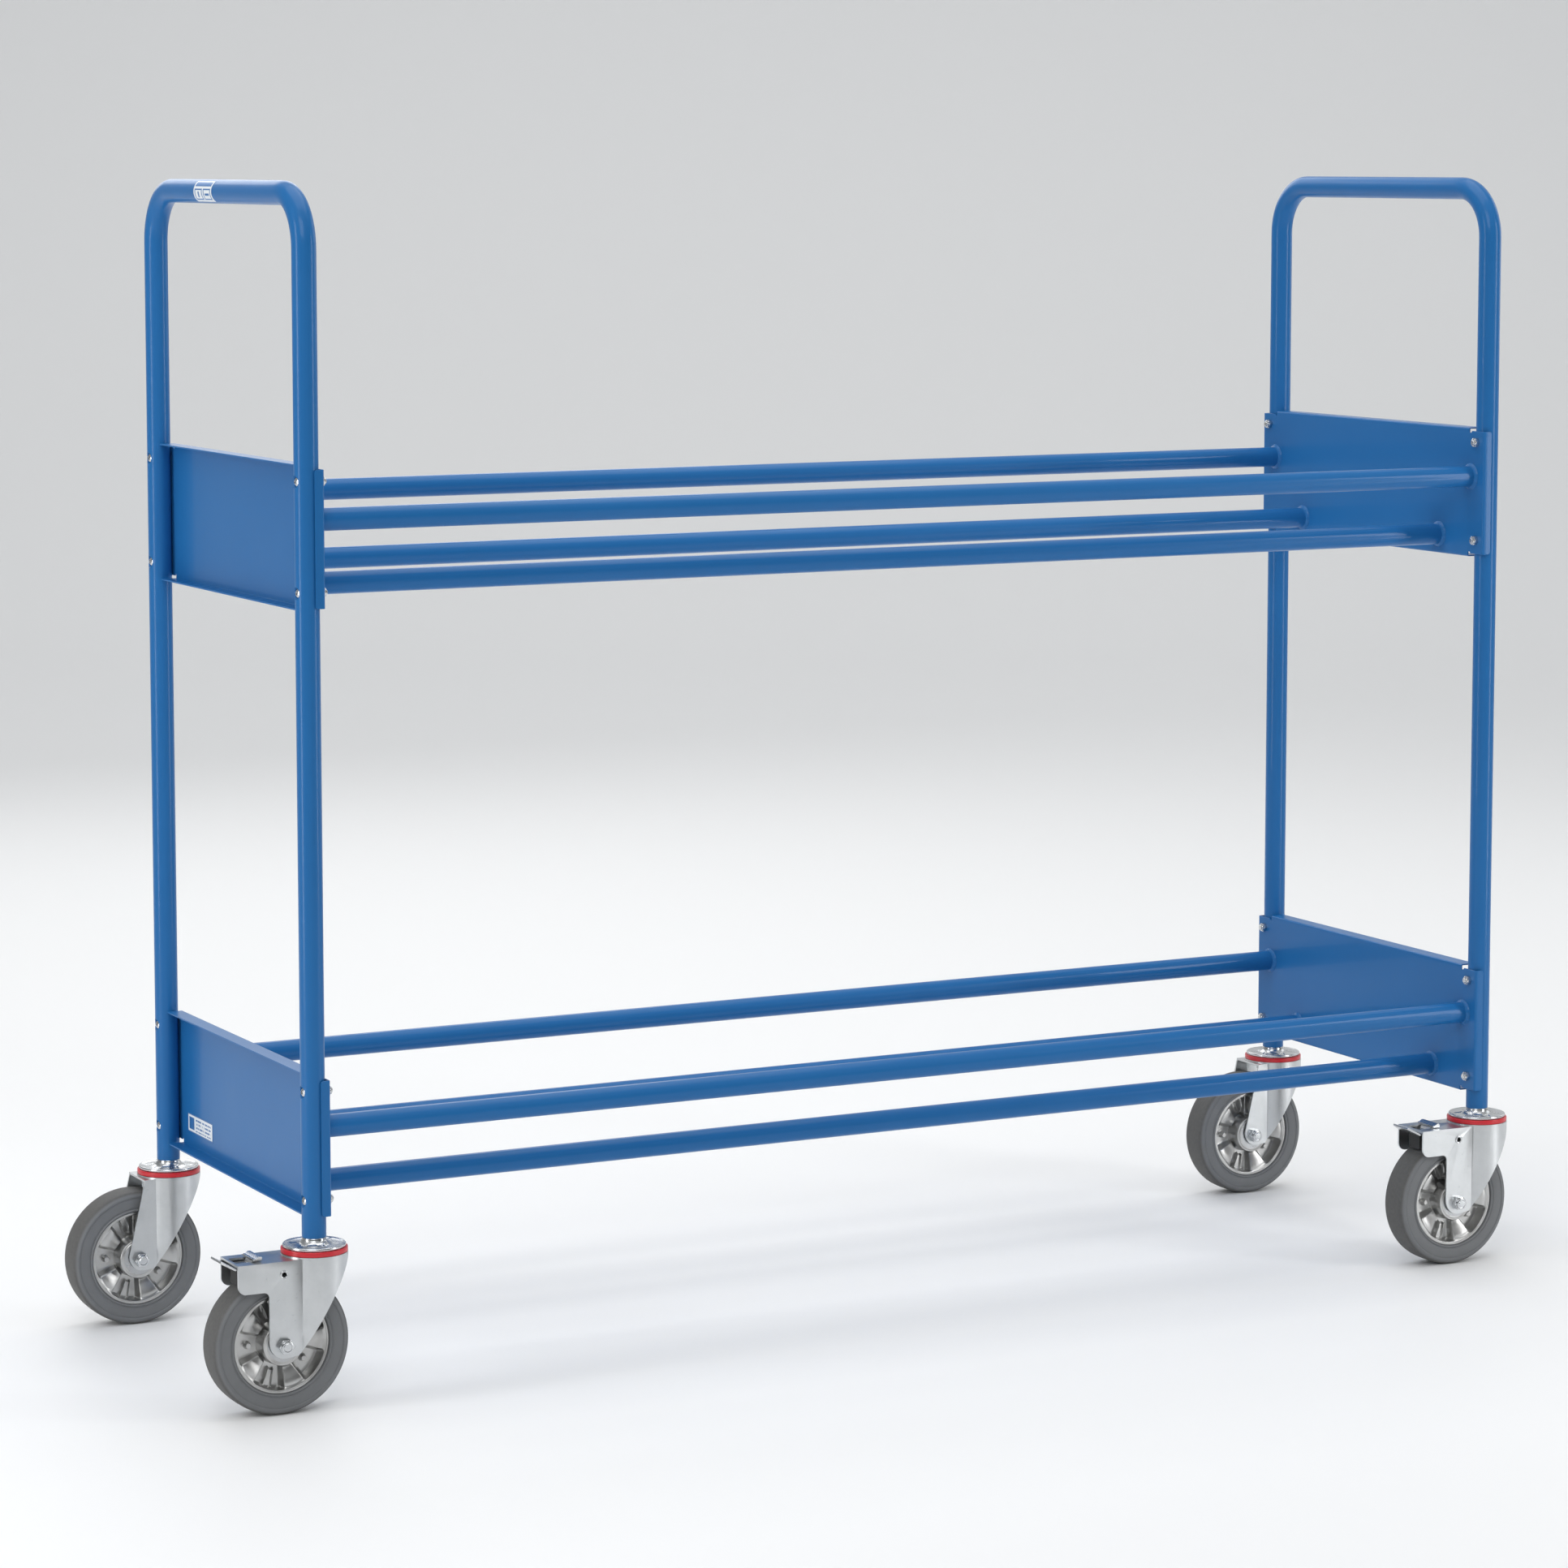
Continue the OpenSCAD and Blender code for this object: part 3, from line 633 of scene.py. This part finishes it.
face = np.stack([np.full_like(gy, -END_X + LEG_R), gy, gz], -1)
piece("data_plate_film", [film(face, np.array([-0.3, 0, 0]))], "rack", DATA, ["data_label"], attributes={
    "along": lambda v: share(v[:, 1], DATA_Y),
    "around": lambda v: share(v[:, 2], DATA_Z)})


# ---------------------------------------------------------------- swivel heads
def top_plate(x, y):
    """Turned profile from the neck under the leg down over a flared cone to a trough and a rolled rim, with a round
    groove for the balls in its underside. Six pressed three-cornered hollows lie round the cone, as a product of a
    radial and an angular window."""
    n, bore, neck_z, under_z = 240, 6.3, 240, 227.7
    upper = chain([bore, neck_z], [16.6, neck_z], [17.0, 239.6], [17.1, 238.2], [17.6, 236.6], [18.6, 235.0],
                  [20, 233.6], [22, 232.4], [24, 231.6], [26, 231.1], [28, 230.8], [30, 230.6], [32, 230.5],
                  [34, 230.45], [36, 230.5], [38, 230.7], [39.6, 231.1], [41, 231.7], [42, 231.95], [43, 231.8])
    edge = [[43.8, 231.1], [44, 230.0], [44, 228.4], [43.5, under_z]]
    groove = arc(BALL_RING_R, BALL_Z, 4.45, 46.9, 133.1, 10)
    profile = chain(upper, edge, groove, [11, under_z], [11, 236], [bore, 236])
    r, z = spread(profile, n)
    off = np.abs((np.linspace(0, 360, n, endpoint=False)[:, None] % 60) - 30)
    half = 15 - 11 * np.clip((r - 22) / 14, 0, 1)
    hollow = smooth_step(r, 21, 23.5) * smooth_fall(r, 34, 37) * smooth_fall(off, half - 3, half)
    z[:, :len(upper)] -= 0.85 * hollow[:, :len(upper)]
    return revolved(r, z, (x, y, 0), "z", wrap_v=True)


def seal(x, y):
    """A rounded rectangular ring turned round the swivel axis."""
    ring = chain(arc(45.1, 221.5, 1.4, -90, 0, 5), arc(45.1, 225.7, 1.4, 0, 90, 5),
                 arc(43.5, 226.2, 0.9, 90, 180, 4), arc(43.5, 221.0, 0.9, 180, 270, 4))
    return turned(ring, (x, y, 0), "z", 128, wrap_v=True)


piece("pressed_top_plates", [top_plate(x, y) for x, y in CORNERS.values()], "rack", ZINC,
      ["swivel_top_plates"], crease=50)


# ---------------------------------------------------------------- wheels
def tyre(x, y):
    """Turned section: bead ring, flat sidewall, shoulder line, slightly crowned tread; mirrored about the middle."""
    half = chain([70.0, 20.5], [70.0, 22.4], [70.4, 23.2], arc(71.9, 23.4, 1.5, 160, 60, 6), [73.4, 24.0],
                 [74.0, 23.2], [74.8, 23.1], [75.8, 23.9], [77.5, 24.3], [82, 24.5], [88.2, 24.4], [89.4, 24.2],
                 [90.0, 23.9], [90.5, 24.2], [91.2, 24.85], [92.4, 25.0], [93.6, 24.75], [95.0, 23.9],
                 [96.4, 22.9], [97.7, 21.8], [98.6, 20.6], [99.1, 19.4], [99.45, 17.5],
                 [99.75, 13.0], [99.93, 7.5], [100.0, 3.0])
    return turned(chain(half, half[::-1] * (1, -1)), (x - TRAIL, y, AXLE_Z), "y", 160, wrap_v=True)


def rim(x, y):
    """Height of the cast face as a function of radius and angle. Five broad wedges with rounded flanks climb from
    the hub to the outer edge. The deep pockets between them hold either a round boss or a low pad between two thin
    ribs, and turned rings make the hub and the outer edge."""
    n, pitch = 360, 72.0        # pitch: degrees from one wedge to the next
    boss_at, boss_h, pad_h, rib_h = 45.0, 9.5, 4.0, 7.5
    hub_r, hub_h, edge_r, edge_h = 28.4, 28.4, 66.6, 22.0
    bore_h = (15.4, 15.4, 15.4, 28.9)  # the first four stations: bearing seat and chamfer
    r = np.concatenate([[14, 22.9, 23.0, 23.0, 23.6], np.linspace(24, 31, 12), np.linspace(31.5, 60, 58),
                        np.linspace(60.4, 70, 30)])[None, :]
    a = np.linspace(0, 360, n, endpoint=False)[:, None]
    from_wedge = ((a + pitch / 2) % pitch) - pitch / 2
    from_pocket = (a % pitch) - pitch / 2
    with_pad = np.floor(a / pitch) % 2
    across = np.abs(r * np.sin(np.radians(from_wedge)))
    half = 0.30 * r
    top = 11.5 + 5.0 * smooth_step(r, 34, 60) - 2.2 * (across / half) ** 2
    wedge = smooth_fall(across, half - 4.5, half + 1.0) * top * smooth_step(r, 29, 35)
    px, py = r * np.cos(np.radians(from_pocket)), r * np.sin(np.radians(from_pocket))
    boss = smooth_fall(np.hypot(px - boss_at, py), 3.8, 5.2) * (1 - with_pad) * boss_h
    pad_half = 0.10 * r
    pad = smooth_fall(np.abs(py), pad_half, pad_half + 0.8) * smooth_step(r, 38, 40) * pad_h
    rib = smooth_fall(np.abs(np.abs(py) - pad_half), 0.5, 1.3) * smooth_step(r, 36, 38) * rib_h
    lift = np.maximum(wedge, np.maximum(boss, np.maximum(pad, rib) * with_pad))
    dish = 2.6 + 1.4 * smooth_step(r, 32, 58)
    barrel = smooth_step(r, 61.0, 65.5)
    hub = smooth_fall(r, 28.8, 31.5)
    face = (dish + lift) * (1 - barrel) * (1 - hub) + hub * hub_h + barrel * (edge_h - 0.6)
    face = np.where(r < hub_r, hub_h + 1.0 * smooth_fall(r, 25.5, 26.4), face)
    face = np.where(r > edge_r, edge_h - 0.8 * smooth_step(r, 68.9, 70.0), face)
    face[:, :4] = bore_h
    radius = np.broadcast_to(r, face.shape)
    radius = np.hstack([radius, radius[:, ::-1]])
    height = np.hstack([face, -face[:, ::-1]])
    return revolved(radius, height, (x - TRAIL, y, AXLE_Z), "y", wrap_v=True)


def axle(x, y):
    """Bolt head on one side of the fork, lock nut and the shank's end on the other, and the distance sleeve."""
    at = (x - TRAIL, y, AXLE_Z)
    n, cheek_y, across = 96, 34.02, 19.0
    hexagon = hex_radius(across, n)
    radius, height = spread([(0, 7.4), (9.0, 7.4), (np.minimum(hexagon, 9.6), 7.35),
                             (hexagon, 6.9 - 0.4 * (hexagon - across / 2)), (hexagon, 0), (0, 0)], n)
    head = revolved(radius, cheek_y + height, at, "y")
    nut = hex_nut(-cheek_y, 11.8, across, at, "y", -1, 6.02, collar=3.0)
    end = turned([[0, -30], [6.0, -30], [6.0, -45.6], [5.2, -46.6], [0, -46.9]], at, "y", 48)
    sleeve = turned([[6.1, -31], [9.4, -31], [9.9, -30.5], [9.9, 30.5], [9.4, 31], [6.1, 31]], at, "y", 64,
                    wrap_v=True)
    return [head, nut, end, sleeve]


def tread_of(x):
    """Rule for a wheel's tread attribute: 0 on the sidewalls and 1 on the tread."""
    return lambda v: smooth_step(np.hypot(v[:, 0] - x + TRAIL, v[:, 2] - AXLE_Z), 95.2, 97.8)


for corner, (x, y) in CORNERS.items():
    swivel, wheel = f"{corner}_swivel", f"{corner}_wheel"
    piece(f"{corner}_red_seal", [seal(x, y)], swivel, RED, [f"{corner}_seal_ring"])
    piece(f"{corner}_axle_bolt", axle(x, y), swivel, ZINC, [f"{corner}_axle_set"])
    piece(f"{corner}_cast_rim", [rim(x, y)], wheel, ALU, [f"{corner}_rim"], crease=60)
    piece(f"{corner}_grey_tyre", [tyre(x, y)], wheel, GREY, [f"{corner}_tyre"], crease=32,
          attributes={"tread": tread_of(x)})


# ---------------------------------------------------------------- pressed sheet parts that keep the CAD shape
def softened(node, name, body, material, width):
    """The CAD node's own surface with its corners merged and its edges rounded by a small bevel."""
    source = frame["nodes"][node]
    mesh = source.data.copy()
    mesh.name = name
    obj = bpy.data.objects.new(name, mesh)
    bpy.context.scene.collection.objects.link(obj)
    bm = bmesh.new()
    bm.from_mesh(mesh)
    bmesh.ops.remove_doubles(bm, verts=bm.verts, dist=2e-6)
    bmesh.ops.dissolve_limit(bm, angle_limit=math.radians(0.5), verts=bm.verts, edges=bm.edges)
    bm.to_mesh(mesh)
    bm.free()
    mesh.materials.clear()
    mesh.materials.append(material)
    mesh.shade_smooth()
    mesh.set_sharp_from_angle(angle=math.radians(28))
    bevel = obj.modifiers.new("edge", "BEVEL")
    bevel.width, bevel.segments, bevel.limit_method = width * MM, 2, "ANGLE"
    bevel.angle_limit = math.radians(35)
    bevel.harden_normals = True
    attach(obj, body)
    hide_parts(node)


for corner in CORNERS:
    softened(f"{corner}_fork", f"{corner}_pressed_fork", f"{corner}_swivel", SATIN, 0.7)
for corner in BRAKED:
    x, y = CORNERS[corner]
    collar = chain(arc(5.0, 34.0, 1.35, -90, 90, 8), arc(5.0, 34.0, 1.35, 90, 270, 8)[1:-1])
    eyelets = [turned(collar * (1, way), (x - TRAIL, y, EYELET_Z), "y", 48, wrap_v=True) for way in (-1, 1)]
    piece(f"{corner}_eyelet_collars", eyelets, f"{corner}_swivel", ZINC)
    softened(f"{corner}_brake_pedal", f"{corner}_pressed_pedal", f"{corner}_brake", ZINC, 0.35)


# ---------------------------------------------------------------- stage, light and camera, in metres
STAGE_HALF, STAGE_BEND_AT, STAGE_BEND_R, STAGE_TOP = 300.0, 9.0, 3.0, 60.0
STAGE_YAW = 0.4788
DARK_SIDE = -42.0  # direction of the dimmed part of the surroundings, in degrees from +X
DARK_RAMP = (0.70, 0.95, 1.0, 0.12)  # cosine from this direction: full light at 0.70, 0.12 of it from 0.95 on
SKY_STRENGTH = 0.62
SKY = [(0.0, (0.095, 0.098, 0.10)), (0.22, (0.209, 0.2156, 0.22)), (0.55, (0.76, 0.784, 0.80)),
       (1.0, (1.0, 1.0, 1.0))]
LIGHTS = {  # place, target, width and height, watts
    "key_light": ((-3.2, -4.2, 4.6), (0, 0, 0.8), (3.0, 3.0), 90),
    "fill_light": ((5.4, 0.8, 2.6), (0, 0, 0.8), (3.0, 3.0), 30),
    "top_light": ((0, 0.3, 5.2), (0, 0, 0), (5.0, 4.0), 112),
    "back_light": ((0.5, 5.0, 3.4), (0, 0, 0.9), (4.0, 2.5), 55),
    "left_strip_light": ((-4.2, -0.2, 1.5), (0, 0, 0.9), (0.6, 3.0), 45),
    "right_strip_light": ((3.1, -2.9, 1.5), (0, 0, 0.9), (0.6, 3.0), 45),
    "wall_light": ((2.8, 5.4, 9.5), (5.6, 10.8, 2.6), (14.0, 3.0), 330),
}
IMAGE_SIDE, FOCAL_PIXELS, SENSOR = 1932, 5864.13, 36.0  # focal length in the photo's pixels, sensor in mm
CAMERA_AT = (-3.375, -6.316, 1.723)
CAMERA_DOWN, CAMERA_YAW, CAMERA_SHIFT = 0.105084, 0.478817, -0.08


def stage_sheet():
    """Floor that rises behind the object: z = 0, then a quarter circle, then a wall, turned to face the camera."""
    bend = arc(0, STAGE_BEND_R, STAGE_BEND_R, -90, 0, 24) + (STAGE_BEND_AT, 0)
    line = chain([-STAGE_HALF, 0], [0, 0], bend, [STAGE_BEND_AT + STAGE_BEND_R, STAGE_TOP])
    across = np.array([[-STAGE_HALF, STAGE_HALF]])
    depth = line[:, :1]
    px = depth * math.sin(STAGE_YAW) + across * math.cos(STAGE_YAW)
    py = depth * math.cos(STAGE_YAW) - across * math.sin(STAGE_YAW)
    pz = np.broadcast_to(line[:, 1:], px.shape)
    mesh = bpy.data.meshes.new("stage_sheet")
    faces = [[2 * i, 2 * i + 1, 2 * i + 3, 2 * i + 2] for i in range(len(line) - 1)]
    mesh.from_pydata(np.stack([px, py, pz], -1).reshape(-1, 3).tolist(), [], faces)
    mesh.shade_smooth()
    obj = bpy.data.objects.new("stage_sheet", mesh)
    bpy.context.scene.collection.objects.link(obj)
    f = Finish("pale_floor")
    mesh.materials.append(f.set(Base_Color=(0.86, 0.865, 0.87), Roughness=0.55, Specular_IOR_Level=0.3))


def soft_light(name, place, target, size, power):
    """A rectangular area light at place, aimed at target."""
    data = bpy.data.lights.new(name, "AREA")
    data.shape, data.size, data.size_y = "RECTANGLE", size[0], size[1]
    data.energy = power
    obj = bpy.data.objects.new(name, data)
    obj.location = place
    way = np.array(target, float) - np.array(place, float)
    yaw = math.atan2(way[0], -way[1])
    tilt = math.atan2(math.hypot(way[0], way[1]), -way[2])
    obj.rotation_euler = (tilt, 0, yaw + math.pi)
    bpy.context.scene.collection.objects.link(obj)


def studio_world():
    """Surroundings that darken towards the floor and are dimmed on one side, where the tubes mirror them."""
    world = bpy.data.worlds.new("studio")
    world.use_nodes = True
    sky = Tree(world.node_tree)
    way = sky.node("ShaderNodeTexCoord", out="Generated")
    height = sky.node("ShaderNodeSeparateXYZ", {}, [way], out=2)
    dark = math.radians(DARK_SIDE)
    toward = sky.node("ShaderNodeVectorMath", {"operation": "DOT_PRODUCT"},
                      [way, (math.cos(dark), math.sin(dark), 0.0)], out="Value")
    background = sky.nodes["Background"]
    sky.put(background.inputs["Color"], sky.ramp(height, SKY))
    sky.put(background.inputs["Strength"], sky.node("ShaderNodeMapRange", {}, [toward, *DARK_RAMP]) * SKY_STRENGTH)
    bpy.context.scene.world = world


stage_sheet()
for name, (place, target, size, power) in LIGHTS.items():
    soft_light(name, place, target, size, power)
studio_world()
bpy.context.scene.view_settings.view_transform = "Standard"

camera = bpy.data.cameras.new("camera")
camera.sensor_width = SENSOR
camera.lens = FOCAL_PIXELS / IMAGE_SIDE * SENSOR
camera.shift_y = CAMERA_SHIFT
camera.clip_end = 1000.0
view = bpy.data.objects.new("camera", camera)
view.location = CAMERA_AT
view.rotation_mode = "XYZ"
view.rotation_euler = (math.pi / 2 - CAMERA_DOWN, 0.0, -CAMERA_YAW)
bpy.context.scene.collection.objects.link(view)
bpy.context.scene.camera = view
